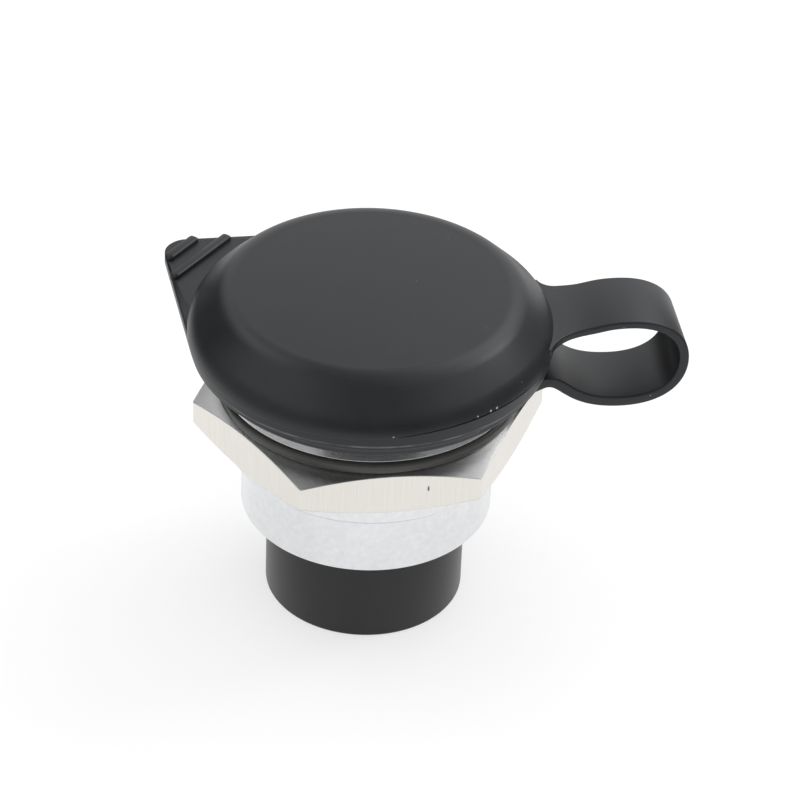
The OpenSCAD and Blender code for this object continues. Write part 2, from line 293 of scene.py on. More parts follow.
def finish(name, constants, wires):
    """A material: constants on the shader's own sockets, and wires from a function of the bench."""
    made = bpy.data.materials.new(name)
    made.use_nodes = True
    shader = made.node_tree.nodes["Principled BSDF"]
    bench = Bench(made.node_tree)
    for key, value in constants.items():
        shader.inputs[key].default_value = value
    for key, value in wires(bench).items():
        bench.plug(shader.inputs[key], value)
    print(f"finish {name}: {len(made.node_tree.nodes)} nodes")
    return made


# %% [markdown]
# ## The rubber of the cap and strap
# The cap, the strap and the ring are one moulding of dark rubber. The mould had a fine matt texture, so
# the surface has a soft sheen, and rubber draws dust: a few pale grains sit on it. The grain could be
# modelled, but it is a fraction of a millimetre, so it goes into the bump. A coarser one would read as
# leather. The ring is paler, browner and a little duller than the rest, in soft patches.

# %% Rubber
RUBBER = (0.93, 0.97, 1.1)
RUBBER_SHADER = {"IOR": 1.45, "Specular Tint": (0.94, 0.97, 1.0, 1.0)}
GRAIN = 5e-6


def rubber_wires(bench, marks=0.0, height=0.0):
    """Marks is the share of pale marks, such as a seam line or nicks. Height, in metres, is added to the
    grain's bump.

    The bump node takes its height in full depths of the grain.
    """
    grain = bench.noise(11000.0)
    mottle = bench.noise(420.0, 4.0)
    dust = bench.specks(900.0, 0.05, 0.3) + bench.specks(420.0, 0.035, 0.3)
    tone = bench.mix(mottle, grey(0.011, RUBBER), grey(0.017, RUBBER))
    return {
        "Base Color": bench.mix(dust * 0.5 + marks, tone, grey(0.3)),
        "Roughness": 0.33 + mottle * 0.08 + grain * 0.06,
        "Normal": bench.bump(grain + height * (1 / GRAIN), GRAIN),
    }


rubber = finish("rubber", RUBBER_SHADER, rubber_wires)


# %% Paler ring
def gasket_wires(bench):
    grain = bench.noise(9000.0)
    pale_patches = bench.noise(300.0, 3.0)
    return {
        "Base Color": bench.mix(pale_patches, (0.02, 0.02, 0.018, 1.0), (0.05, 0.049, 0.044, 1.0)),
        "Roughness": 0.36 + grain * 0.16,
        "Normal": bench.bump(grain, 6e-6),
    }


gasket = finish("gasket", {"IOR": 1.5}, gasket_wires)

# %% [markdown]
# ## Plated zinc
# The housing is a zinc casting, turned and bright plated. Plating keeps the fine pitting of the casting
# under it: up close the metal is speckled and mottled, and it has soft clouds of brightness from polishing.
# A picture of real plating could be wrapped round it, but noise needs no unwrapping and stays sharp close
# up. Three sizes of it go together: mottle and cloud into the colour, speckle and cloud into roughness
# and a shallow bump.

# %% Plated metal
ZINC = (0.985, 0.995, 1.01)


def zinc_wires(bench):
    speckle = bench.noise(9000.0, 3.0)
    cloud = bench.noise(350.0, 3.0)
    mottle = bench.noise(2000.0, 4.0)
    pits = bench.specks(1500.0, 0.12, 0.12)
    tone = bench.mix(cloud * 0.3 + mottle * 0.7, grey(0.67, ZINC), grey(0.9, ZINC))
    return {
        "Base Color": bench.mix(pits * 0.4, tone, grey(0.42)),
        "Roughness": 0.12 + speckle * 0.16 + cloud * 0.06,
        "Normal": bench.bump(speckle + cloud * 2.0, 3e-6),
    }


plated_zinc = finish("plated_zinc", {"Metallic": 1.0}, zinc_wires)

# %% [markdown]
# ## Two finishes on one nut
# The nut is cut from drawn hexagon bar, so its flats keep the fine marks of the die along the axis, with
# a few dark pits and one nick. Its two faces were turned, which leaves rings round the bore: most are too
# fine to draw, but they smear every reflection across themselves, and the shader's anisotropy does the
# same. Two materials on one mesh keep the marks running the right way on each. The tool tore the metal a
# little where it ran out over the corners, so they are rougher.

# %% Drawn flats
NUT = (1.02, 0.99, 0.93)
NICK_PLACE = (0.0029, -0.012, 0.0177)
NICK_HALF = (1.0e-4, 1e-3, 3.2e-4)


def drawn_wires(bench):
    streak = bench.noise(1.0, 3.0, bench.stretched((9000.0, 9000.0, 260.0)))
    cloud = bench.noise(300.0, 3.0)
    pits = bench.specks(1.0, 0.16, 0.03, bench.stretched((2200.0, 2200.0, 700.0)))
    nick = bench.spot(NICK_PLACE, NICK_HALF)
    tone = bench.mix(streak, grey(0.705, NUT), grey(0.91, NUT))
    return {
        "Base Color": bench.mix(pits * 0.5 + nick * 0.9, tone, grey(0.08)),
        "Roughness": 0.24 + streak * 0.16 + cloud * 0.06,
        "Normal": bench.bump(streak - pits - nick, 5e-6),
    }


drawn_steel = finish("nut_flats", {"Metallic": 1.0}, drawn_wires)


# %% Turned faces
RINGS_PER_METRE = 8000.0
CORNER_STARTS = 0.0122
CORNER_FULL = 0.0137


def turned_wires(bench):
    radius = bench.off_axis()
    marks = bench.node("ShaderNodeTexNoise", {"noise_dimensions": "1D"}, {
        "W": radius * RINGS_PER_METRE, "Scale": 1.0, "Detail": 2.0})
    speckle = bench.noise(6000.0, 3.0)
    corner = radius.ease(CORNER_STARTS, CORNER_FULL)
    return {
        "Base Color": bench.mix(speckle, grey(0.66), grey(0.84)),
        "Roughness": 0.24 + speckle * 0.16 + corner * speckle * 0.5,
        "Normal": bench.bump(marks + speckle * 0.5, 3e-6),
    }


across_the_rings = {"Metallic": 1.0, "Anisotropic": 0.4, "Anisotropic Rotation": 0.25}
turned_steel = finish("nut_faces", across_the_rings, turned_wires)

# %% [markdown]
# ## Black plastic, steel, gold and board
# The rear body and the front insert are moulded in black plastic with a satin mould texture. The sockets
# are stamped steel shells round a black tongue with gold-plated contacts, soldered to a small green board.
# A plain colour each would do for the photograph's view, which hides most of them. But the rear socket
# shows as soon as the adapter is turned over, so each gets a finish of its own, with marks that run the
# way the part was drawn, moulded or wiped.

# %% Black plastic
def plastic_wires(bench):
    grain = bench.noise(8000.0, 2.0)
    flow = bench.noise(1.0, 3.0, bench.stretched((300.0, 300.0, 80.0)))
    return {
        "Base Color": bench.mix(flow, grey(0.008), grey(0.013)),
        "Roughness": 0.28 + grain * 0.1 + flow * 0.06,
        "Normal": bench.bump(grain, 4e-6),
    }


black_plastic = finish("black_plastic", {"IOR": 1.43}, plastic_wires)


# %% Inside the sockets
def shell_wires(bench):
    brush = bench.noise(1.0, 3.0, bench.stretched((7000.0, 7000.0, 300.0)))
    return {
        "Base Color": bench.mix(brush, grey(0.56), grey(0.7)),
        "Roughness": 0.2 + brush * 0.2,
        "Normal": bench.bump(brush, 3e-6),
    }


def tongue_wires(bench):
    fibre = bench.noise(1.0, 3.0, bench.stretched((5000.0, 5000.0, 900.0)))
    return {
        "Base Color": bench.mix(fibre, grey(0.011), grey(0.022)),
        "Roughness": 0.4 + fibre * 0.2,
        "Normal": bench.bump(fibre, 3e-6),
    }


def gold_wires(bench):
    wipe = bench.noise(1.0, 2.0, bench.stretched((9000.0, 9000.0, 500.0)))
    return {
        "Base Color": bench.mix(wipe, (0.72, 0.5, 0.19, 1.0), (0.9, 0.68, 0.32, 1.0)),
        "Roughness": 0.16 + wipe * 0.16,
    }


def board_wires(bench):
    weave = bench.noise(2500.0, 2.0)
    return {
        "Base Color": bench.mix(weave, (0.008, 0.07, 0.03, 1.0), (0.014, 0.11, 0.05, 1.0)),
        "Roughness": 0.25 + weave * 0.15,
        "Normal": bench.bump(weave, 6e-6),
    }


shell_steel = finish("shell_steel", {"Metallic": 1.0}, shell_wires)
tongue_plastic = finish("tongue_plastic", {"IOR": 1.55}, tongue_wires)
contact_gold = finish("contact_gold", {"Metallic": 1.0}, gold_wires)
board_green = finish("board", {"IOR": 1.5}, board_wires)

# %% [markdown]
# ## The slots of the two sockets
# Each socket sits in a slot with fully round ends. Seen from the axis, such a slot is a distance that
# changes with the angle: flat sides near the middle, an arc at each end. With that distance in hand, a
# slot is one more ring, and the face between it and the round rim is a single band of quads.

# %% Slots and slabs
NEAR_ZERO = 1e-9


def slot_reach(width, height):
    """Distance from the axis to a slot with round ends, for each angle."""
    along = np.abs(np.cos(TURN))
    across = np.maximum(np.abs(np.sin(TURN)), NEAR_ZERO)
    half = (width - height) / 2
    end_r = height / 2
    side = end_r / across
    end = half * along + np.sqrt(np.maximum(end_r ** 2 - (half * across) ** 2, 0))
    return np.where(side * along <= half, side, end)


def slab_reach(width, height):
    """Distance from the axis to a rectangle, for each angle."""
    along = np.maximum(np.abs(np.cos(TURN)), NEAR_ZERO)
    across = np.maximum(np.abs(np.sin(TURN)), NEAR_ZERO)
    return np.minimum(width / 2 / along, height / 2 / across)


# %% Pockets
shell_low, shell_high = span("rear_port_shell")
shell_w, shell_h = (shell_high - shell_low)[:2]
slip = 0.05
guide_w, guide_h = 8.1, 1.1
print("socket shell (mm):", round(shell_w, 2), "x", round(shell_h, 2))


def pocket(mouth, back, end, lip):
    """Rings down a socket's pocket: a rounded mouth, the slot and the board guide behind it."""
    into = np.sign(back - mouth)
    slot = slot_reach(shell_w + 2 * slip, shell_h + 2 * slip)
    guide = slab_reach(guide_w, guide_h)
    rim = [ring(slot + lip * (1 - np.sin(a)), mouth + into * lip * (1 - np.cos(a)))
           for a in np.linspace(0, np.pi / 2, 4)]
    return rim + [ring(slot, back), ring(guide, back), ring(guide, end)]


# %% [markdown]
# ## The rear body
# A plain black moulding closes the rear end. Its edge is barely broken, and the socket's slot opens in the
# rear face. A cylinder with the pocket cut by a Boolean would leave long thin triangles round the slot. One
# closed loft, up the outside and back down through the pocket, has clean quads everywhere.

# %% Rear body
body_low, body_high = span("rear_body")
housing_low, housing_high = span("housing")
base_r = body_high[0]
z_barrel = housing_low[2]
neck_r = 6.65
base_edge = 0.22
face_inset = 1.0
neck_inset = 0.5
pocket_lip = 0.12
shell_back = shell_high[2]

bm = bmesh.new()
outside = turned([
    (base_r - face_inset, body_low[2], 0),
    (base_r, body_low[2], base_edge),
    (base_r, z_barrel, 0.05),
    (neck_r, z_barrel, 0),
    (neck_r, body_high[2], 0.1),
    (neck_r - neck_inset, body_high[2], 0),
], closed=False)
inside = pocket(body_low[2], shell_back, body_high[2], pocket_lip)
loft(bm, outside + inside[::-1], closed=True)
piece("rear_body_moulding", bm, [black_plastic], "rear_body", "adapter")

# %% [markdown]
# ## The housing and its thread
# The barrel, the panel thread and the flange are one casting, turned after it left the mould. The thread
# is the feature to get right: a single right-hand groove that winds up to the flange, above a short plain
# start with a lead chamfer. Level rings would cut across the groove's edges and blur them. So each ring
# climbs by one pitch in a turn and lies on an edge or a flank of the groove all the way, and its end meets
# the start of a ring one turn higher. Depth and flats are about those of a metric thread, in pitches.

# %% Thread
thread_r = 11.0
pitch = 1.5
thread_depth = 0.6134 * pitch
root_half = 0.125
crest_half = 0.0625
flank_end = 0.5 - crest_half
plain_start = 1.5
z_thread = 13.4
z_start = z_thread + plain_start
z_flange = 20.2
groove_turn = math.radians(261)
groove_z = 13.3
run_out = 0.5
CLIMB = np.append(TURN, 2 * np.pi)
FLANK = np.linspace(root_half, flank_end, 5)
LAPS = range(7)


def thread_ring(lap, off_groove):
    """A ring that climbs with the groove, off its middle by a share of the pitch.

    The groove's middle passes groove_z at groove_turn, and fades out over run_out at both ends. What would
    lie past an end is pressed onto it.
    """
    turns = (CLIMB - groove_turn) / (2 * np.pi)
    z = np.clip(groove_z + pitch * (lap + off_groove + turns), z_start, z_flange)
    off_middle = (z - groove_z) / pitch - turns
    off_middle = np.abs(off_middle - np.round(off_middle))
    cut = np.clip((flank_end - off_middle) / (flank_end - root_half), 0, 1)
    fade = np.clip((z_flange - z) / run_out, 0, 1) * np.clip((z - z_start) / run_out, 0, 1)
    return ring(thread_r - thread_depth * cut * fade, z, CLIMB)


thread_rings = [thread_ring(lap, share) for lap in LAPS for share in [*-FLANK[::-1], *FLANK]]
print("thread rings:", len(thread_rings))

# %% Housing
barrel_r = 9.95
lead = 0.5
bore_r = 6.7
flange_r = housing_high[0]
z_front = housing_high[2]
flange_edge = 0.15
under_cut = 0.3
flange_step = 0.4
flange_taper = math.radians(22)
collar_r = flange_r - flange_step
z_collar = z_flange + flange_edge + flange_step / math.tan(flange_taper)
collar_bevel = 0.6
seat_r = 8.45
seat_depth = 3.0
z_seat = z_front - seat_depth

bm = bmesh.new()
barrel = turned([
    (bore_r, z_barrel, 0),
    (barrel_r, z_barrel, 0.14),
    (barrel_r, z_thread, 0),
    (thread_r - lead, z_thread, 0),
    (thread_r, z_thread + lead, 0),
    (thread_r, z_start, 0),
], closed=False)
flange = turned([
    (thread_r, z_flange, 0),
    (flange_r - under_cut, z_flange, 0),
    (flange_r, z_flange + flange_edge, 0.04),
    (collar_r, z_collar, 0.2),
    (collar_r, z_front - collar_bevel, 0.15),
    (collar_r - collar_bevel, z_front, 0.15),
    (seat_r, z_front, 0.12),
    (seat_r, z_seat, 0),
    (bore_r, z_seat, 0.1),
    (bore_r, z_barrel, 0),
], closed=False)
loft(bm, barrel)
loft(bm, thread_rings, round_trip=False)
loft(bm, flange)
piece("threaded_housing", bm, [plated_zinc], "housing", "adapter")

# %% [markdown]
# ## The panel nut
# Hexagon bar is faced on both sides and its corners are chamfered in the lathe, so the top edge of each
# flat is a shallow curve. A Boolean of a prism and a cone gives the same curve, but no even quads along it.
# Here the hexagon is a distance that changes with the angle, like the slot, and the chamfer lowers the edge
# by how far that distance reaches past the flat ring. Extra angles close to each corner hold a small
# rounding there, and the higher the power, the sharper it is.

# %% Hexagon
nut_low, nut_high = span("panel_nut")
nut_half = nut_high[1]
nut_face_r = 11.6
chamfer = math.tan(math.radians(22))
nut_bore = 11.05
bore_chamfer = 0.35
edge = 0.025
near_corner = np.array([0, 0.12, 0.25, 0.45, 0.8, 1.5, *np.arange(3, 58, 1.5)])
one_flat = np.concatenate([near_corner, 60 - near_corner[5:0:-1]])
nut_turn = np.radians(np.concatenate([np.sort(one_flat) + 60 * k for k in range(6)]))
corner_power = 220.0

flats = [np.maximum(np.cos(nut_turn - math.radians(30 + 60 * k)), 1e-3) for k in range(6)]
hexagon = nut_half / np.sum([f ** corner_power for f in flats], axis=0) ** (1 / corner_power)
drop = (hexagon - nut_face_r) * chamfer
print("across corners (mm):", round(2 * hexagon.max(), 2))


# %% Nut
def nut_side(z_face, up):
    """Rings from the bore over one face to the edge of the flats. Up is 1 on the top and -1 below."""
    sloped = [nut_face_r + edge, nut_face_r + 2 * edge, hexagon - 2 * edge, hexagon - edge]
    return [
        ring(nut_bore, z_face - up * bore_chamfer, nut_turn),
        ring(nut_bore + bore_chamfer, z_face, nut_turn),
        ring(nut_face_r - 2 * edge, z_face, nut_turn),
        ring(nut_face_r - edge, z_face, nut_turn),
        *[ring(reach, z_face - up * (reach - nut_face_r) * chamfer, nut_turn) for reach in sloped],
        ring(hexagon, z_face - up * (drop + edge), nut_turn),
        ring(hexagon, z_face - up * (drop + 2 * edge), nut_turn),
    ]


bm = bmesh.new()
below = nut_side(nut_low[2], -1)
above = nut_side(nut_high[2], 1)
rings = below + above[::-1]
bands = [1] * len(rings)
bands[len(below) - 1] = 0
loft(bm, rings, closed=True, bands=bands)
piece("hexagon_nut", bm, [drawn_steel, turned_steel], "panel_nut", "nut")

# %% [markdown]
# ## The front insert and the socket shells
# Behind the cap a round black insert fills the front of the housing and carries the front socket. Both
# shells are sheet steel, rolled round and drawn smooth at the mouth. A Solidify modifier would give the
# sheet its thickness but leave square edges, so the rings are led round the lip in a half circle.

# %% Insert
insert_low, insert_high = span("front_insert")
front_low, front_high = span("front_port_shell")
insert_r = insert_high[0]

bm = bmesh.new()
outside = turned([
    (neck_r - neck_inset, insert_low[2], 0),
    (neck_r, insert_low[2], 0.1),
    (neck_r, z_seat, 0),
    (insert_r, z_seat, 0.1),
    (insert_r, insert_high[2], 0.15),
    (insert_r - face_inset, insert_high[2], 0),
], closed=False)
inside = pocket(insert_high[2], front_low[2], insert_low[2], pocket_lip)
loft(bm, outside + inside, closed=True)
piece("front_insert_moulding", bm, [black_plastic], "front_insert", "adapter")


# %% Shells
sheet = 0.3


def socket_shell(name, node, mouth, back):
    """A stamped shell: outer slot, half-round lip and inner slot."""
    into = np.sign(back - mouth)
    lip = sheet / 2
    rings = [ring(slot_reach(shell_w, shell_h), back)]
    for a in np.linspace(0, np.pi, 9):
        inset = lip * (1 - math.cos(a))
        reach = slot_reach(shell_w - 2 * inset, shell_h - 2 * inset)
        rings.append(ring(reach, mouth + into * lip * (1 - math.sin(a))))
    rings.append(ring(slot_reach(shell_w - 2 * sheet, shell_h - 2 * sheet), back))
    bm = bmesh.new()
    loft(bm, rings, closed=True)
    piece(name, bm, [shell_steel], node, "adapter")


socket_shell("rear_socket_shell", "rear_port_shell", shell_low[2], shell_high[2])
socket_shell("front_socket_shell", "front_port_shell", front_high[2], front_low[2])

# %% [markdown]
# ## Inside the sockets
# Tongues, mid plates, contacts and the board already have their true shape in the frame: thin bars and
# plates. Building them again would add nothing, so they stay as they are and only take a finish, with a
# hair of bevel so that their edges catch light.

# %% Kept nodes
KEPT = {
    "front_tongue": tongue_plastic,
    "rear_tongue": tongue_plastic,
    "front_mid_plate": shell_steel,
    "rear_mid_plate": shell_steel,
    "front_contacts_a": contact_gold,
    "front_contacts_b": contact_gold,
    "rear_contacts_a": contact_gold,
    "rear_contacts_b": contact_gold,
    "circuit_board": board_green,
}
KEPT_BEVEL = 0.02 * MM

for name, material in KEPT.items():
    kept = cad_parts[name]
    for material_slot in kept.material_slots:
        material_slot.material = material
    soft_edge = kept.modifiers.new("soft_edge", "BEVEL")
    soft_edge.width = KEPT_BEVEL
    soft_edge.segments = 2
print("kept nodes:", len(KEPT))

# %% [markdown]
# ## The cap
# The cap is a soft dome: a flat crown, a slope and a shoulder that roll into each other, then an upright
# recessed lip. A subdivided cylinder would need many guard loops to hold these edges, while a profile
# states each radius as it is: two arcs that touch the slope make the outside. The inside follows the flange
# with a little play, and a rib on its roof presses on the flange to seal. A fine seam, where the two halves
# of the mould met, runs round the lip. The soft lip doesn't sit quite level: it hangs a little at the
# front, and a crease over it gapes on the strap's side, so some rings rise and fall with the angle.

# %% Cap profile
cap_low, cap_high = span("cap")
cap_r = cap_high[1]
z_skirt = cap_low[2]
z_top = cap_high[2]
shoulder_h = 1.22
shoulder_r = 2.6
crown_r = 2.4
slope = math.radians(45)
lip_h = 1.2
lip_step = 0.15
lip_r = cap_r - lip_step
z_lip = z_skirt + lip_h - lip_step
cap_play = 0.4
cap_in_r = collar_r + cap_play
skirt_round = 0.2
roof_gap = 0.5
z_roof = z_front + roof_gap
seal_r = 9.6
seal_w = 0.9
seal_gap = 0.1
seal_z = z_front + seal_gap
seam = 0.1
seam_h = 0.42
z_seam = z_skirt + seam_h
crease = 0.12
rim_round = 0.06
z_shoulder = z_skirt + shoulder_h
tilt = math.pi / 2 - slope
slope_drop = (z_shoulder - z_top + crown_r) * math.sin(tilt)
crown_c = cap_r - shoulder_r + (slope_drop + shoulder_r - crown_r) / math.cos(tilt)


def arc(r_mid, z_mid, radius, start, end, steps):
    """Points of an arc in the profile, with no rounding of their own."""
    return [(r_mid + radius * math.cos(a), z_mid + radius * math.sin(a), 0)
            for a in np.linspace(start, end, steps)]


dome = [
    (cap_in_r, z_skirt, skirt_round),
    (lip_r - seam, z_skirt, 0.12),
    (lip_r - seam, z_seam - seam, 0),
    (lip_r, z_seam, 0.04),
    (lip_r, z_lip - crease * 0.6, 0),
    (lip_r, z_lip - crease / 2, 0),
    (lip_r, z_lip, 0),
    (lip_r + lip_step / 2, z_lip + crease / 2, 0),
    (cap_r, z_lip + crease, rim_round),
    *arc(cap_r - shoulder_r, z_shoulder, shoulder_r, 0, tilt, 12),
    *arc(crown_c, z_top - crown_r, crown_r, tilt, math.pi / 2, 16),
    *[(crown_c * k / 6, z_top, 0) for k in range(5, -1, -1)],
]
roof = [
    (0, z_roof, 0),
    (seal_r - seal_w / 2, z_roof, 0.12),
    (seal_r - seal_w / 2, seal_z, 0.2),
    (seal_r + seal_w / 2, seal_z, 0.2),
    (seal_r + seal_w / 2, z_roof, 0.12),
    (collar_r - collar_bevel, z_roof, 0.3),
    (cap_in_r, z_roof - collar_bevel - cap_play, 0.3),
    (cap_in_r, z_skirt + skirt_round, 0),
]
print("crown starts at radius", round(crown_c, 2))


# %% Cap rings
crease_depth = 0.4
crease_gap = 0.1
crease_rise = 0.45
lip_dip = 0.5
inside_r = cap_in_r + 1.0
z_rim = z_lip + crease + rim_round


def share_of_rim(middle, half):
    """1 at one angle of the rim, falling to 0 at half degrees on both sides, for each angle."""
    away = np.angle(np.exp(1j * (TURN - math.radians(middle))), deg=True)
    return np.clip(1 - (away / half) ** 2, 0, 1)


opened = share_of_rim(-45, 45)
raised = share_of_rim(-64, 38)
hanging = share_of_rim(-92, 52)


def shoulder_reach(z):
    """Radius of the shoulder at a height, for each angle."""
    return cap_r - shoulder_r + np.sqrt(shoulder_r ** 2 - np.clip(z - z_shoulder, 0, shoulder_r) ** 2)


def cap_ring(r, z):
    """A ring of the cap. The lip hangs at the front, and a crease over it gapes on the strap's side."""
    if z < z_lip - crease:
        return ring(r, z - lip_dip * hanging * (z_lip - z) / lip_h)
    if r < inside_r:
        return ring(r, z)
    if z < z_lip + crease / 4:
        depth = crease_depth if z > z_lip - crease / 4 else 0
        return ring(r - depth * opened, z + crease_rise * raised)
    lift = crease_rise * raised + crease_gap * opened
    height = np.maximum(z, min(z, z_rim) + lift)
    return ring(np.where(height > z, np.minimum(r, shoulder_reach(height)), r), height)


# %% Cap rubber
NICKS = ((-56.5, 1.3e-4), (-59.0, 1.2e-4), (-63.5, 9e-5), (-90.7, 8e-5))
CROWN_BEND = 0.18


def cap_wires(bench):
    """Rubber with a pale line in patches along the seam, nicks on the rim and a crown that domes a little.

    A nick is an angle in degrees and a half width in metres. The crown bends to a radius in metres.
    """
    height = bench.node("ShaderNodeSeparateXYZ", {}, {0: bench.place()}, out="Z")
    off_seam = bench.node("ShaderNodeMath", {"operation": "ABSOLUTE"}, {0: height - z_seam * MM})
    pale_seam = off_seam.ease(1e-4, 4e-5) * (0.05 + bench.noise(500.0, 3.0).ease(0.35, 0.7) * 0.25)
    rim = cap_ring(cap_r, z_rim) * MM
    nicks = 0.0
    for degrees, half in NICKS:
        nicks = nicks + bench.spot(tuple(rim[round(degrees / 360 * SIDES)]), (half, half, half))
    on_crown = bench.node("ShaderNodeMath", {"operation": "SMOOTH_MIN"},
                          {0: bench.off_axis(), 1: crown_c * MM, 2: MM})
    return rubber_wires(bench, pale_seam + nicks, on_crown * on_crown * (-0.5 / CROWN_BEND))


cap_rubber = finish("cap_rubber", RUBBER_SHADER, cap_wires)

# %% [markdown]
# ## The pull tab
# A flat tab on the rim lets a fingertip lift the cap, with two raised ribs for grip. Its outline is two
# lines that touch the rim, a round tip and a root that ends inside the cap's wall. A curve object could be
# extruded too, but bmesh also bevels the edges. Each rib is a bar with round corners and domed ends, half
# sunk in the tab. All of it goes into the cap's own mesh, because it is one moulding.

# %% Tab
tab_angle = math.radians(137)
tab_reach = 19.6
tab_tip_r = 1.9
tab_root = 12.9
tab_t = 0.9
tab_edge = 0.2
tab_h = 1.1
z_tab = z_skirt + tab_h
tab_c = tab_reach - tab_tip_r
tab_turn = math.acos((lip_r - tab_tip_r) / tab_c)


def at_tab(points):
    """Points drawn along +X, turned to the tab's direction."""
    c, s = math.cos(tab_angle), math.sin(tab_angle)
    return [(x * c - y * s, x * s + y * c, z) for x, y, z in points]


def add_tab(bm):
    """The flat tab, extruded from its outline."""
    side = lip_r * math.sin(tab_turn)
    start = lip_r * math.cos(tab_turn)
    tip = [(tab_c + tab_tip_r * math.cos(a), tab_tip_r * math.sin(a))
           for a in np.linspace(-tab_turn, tab_turn, 25)]
    root = [(tab_root * math.cos(a), tab_root * math.sin(a))
            for a in np.linspace(tab_turn, -tab_turn, 33)]
    outline = [(start, -side), *tip, (start, side), *root]
    loops = []
    for z in (z_tab - tab_t, z_tab):
        loops.append([bm.verts.new(Vector(p) * MM) for p in at_tab([(x, y, z) for x, y in outline])])
    bottom, top = loops
    count = len(outline)
    faces = [bm.faces.new(bottom[::-1]), bm.faces.new(top)]
    for k in range(count):
        n = (k + 1) % count
        faces.append(bm.faces.new((bottom[k], bottom[n], top[n], top[k])))
    rim = [e for f in faces[:2] for e in f.edges]
    bmesh.ops.bevel(bm, geom=rim, offset=tab_edge * MM, segments=4, profile=0.5, affect="EDGES")


# %% Ribs
rib_r = 0.425
rib_places = (16.5, 18.4)
rib_inset = 0.45
rib_sink = 0.05
rib_squareness = 0.5


def squarish(share):
    """Pushes a circle's points outwards, towards a square with round corners."""
    return math.copysign(abs(share) ** rib_squareness, share)


def add_rib(bm, x):
    """A rib across the tab, at a distance from the cap's axis."""
    half = (lip_r - x * math.cos(tab_turn)) / math.sin(tab_turn) - rib_inset
    caps = np.linspace(0, math.pi / 2, 7)
    stations = [(-half - rib_r * math.cos(a), rib_r * math.sin(a)) for a in caps]
    stations += [(half + rib_r * math.cos(a), rib_r * math.sin(a)) for a in caps[::-1]]
    around = np.linspace(0, 2 * np.pi, 24, endpoint=False)
    wide = [squarish(math.cos(a)) for a in around]
    tall = [squarish(math.sin(a)) for a in around]
    z_rib = z_tab - rib_sink
    loft(bm, [at_tab([(x + r * w, y, z_rib + r * t) for w, t in zip(wide, tall)]) for y, r in stations])


bm = bmesh.new()
loft(bm, [cap_ring(r, z) for r, z in softened(dome + roof)], closed=True)
add_tab(bm)
for place in rib_places:
    add_rib(bm, place)
piece("dust_cap", bm, [cap_rubber], "cap", "cap")

# %% [markdown]
# ## The strap, its ring and its root
# The strap leaves the ring under the flange, sags a little, turns back in a loop and runs into the cap's
# wall with a wide fillet. It bends when the cap is opened. A sweep along the same smooth curves as the
# frame's strap makes it: a flat section with rounded edges at each station, wider where the fillets start.
# Curve objects can sweep a section as well, but not one that widens on each side by itself. The curves'
# points and pulls are shares of the loop's reach.

# %% Strap sizes
tether_low, tether_high = span("tether")
strap_w = 6.2
strap_t = 0.9
strap_cap_t = 0.64
tip_t = (strap_t + strap_cap_t) / 2
strap_edge = 0.14
loop_drop = 1.6
loop_rise = 0.45
ring_r = -tether_low[0]
ring_t = 0.95
ring_in_r = 11.1
z_ring = z_flange - ring_t / 2
z_root = tether_high[2] - strap_cap_t / 2 - loop_rise
root_end = 15.3
root_fillets = {-1: 4.0, 1: 1.4}
root_start = 12.75
print("loop's height (mm):", round(z_root - z_ring, 2))

# %% Strap line
CURVE_STEPS = 26
ROOT_STEPS = 22

ring_end = np.array([ring_r - strap_t, z_ring])
cap_end = np.array([root_end, z_root])
tip = np.array([tether_high[0] - tip_t / 2, (z_ring - loop_drop + z_root + loop_rise) / 2])
reach = tip[0] - ring_end[0]
foot = np.array([flange_r, z_ring])
crest = np.array([ring_end[0] + reach * 0.19, z_ring + reach * 0.045])
low = np.array([ring_end[0] + reach * 0.6, z_ring - loop_drop])
high = np.array([ring_end[0] + reach * 0.64, z_root + loop_rise])
foot_pull = reach * np.array([0.04, 0])
crest_pull = reach * np.array([0.1, 0])
low_pull = reach * np.array([0.28, -0.018])
tip_pull = np.array([0, (high[1] - tip[1]) * 0.58])
high_pull = reach * np.array([0.24, 0])
root_pull = reach * np.array([0.16, 0])
curves = [
    (ring_end, (2 * ring_end + foot) / 3, (ring_end + 2 * foot) / 3, foot),
    (foot, foot + foot_pull, crest - foot_pull, crest),
    (crest, crest + crest_pull, low - low_pull, low),
    (low, low + low_pull, tip - tip_pull, tip),
    (tip, tip + tip_pull, high + high_pull, high),
    (high, high - root_pull, cap_end + root_pull, cap_end),
]


def bezier(curve, t):
    """The point of a cubic curve at a share of its run."""
    a, b, c, d = curve
    return (1 - t) ** 3 * a + 3 * t * (1 - t) ** 2 * b + 3 * t * t * (1 - t) * c + t ** 3 * d


shares = np.linspace(0, 1, CURVE_STEPS, endpoint=False)
line = [bezier(c, t) for c in curves for t in shares]
line += [np.array([x, z_root]) for x in np.linspace(root_end, root_start, ROOT_STEPS)]
line = np.array(line)
at_curve_ends = [strap_t] * 4 + [tip_t, strap_cap_t, strap_cap_t]
along_line = np.interp(np.arange(len(line)) / CURVE_STEPS, range(len(at_curve_ends)), at_curve_ends)
length = np.linalg.norm(np.diff(line, axis=0), axis=1).sum()
print("strap line (mm):", round(length, 1), "stations:", len(line))


# %% Strap section
def half_width(x, z, side):
    """Half width on one side of the strap, wider where its root is filleted into the cap's wall."""
    radius = root_fillets[side]
    mid_y = strap_w / 2 + radius
    mid_x = math.sqrt((cap_r + radius) ** 2 - mid_y ** 2)
    if z < z_root - strap_t or x >= mid_x:
        return strap_w / 2
    touch_x = mid_x * cap_r / (cap_r + radius)
    step = mid_x - max(x, touch_x)
    return mid_y - math.sqrt(radius ** 2 - step ** 2)


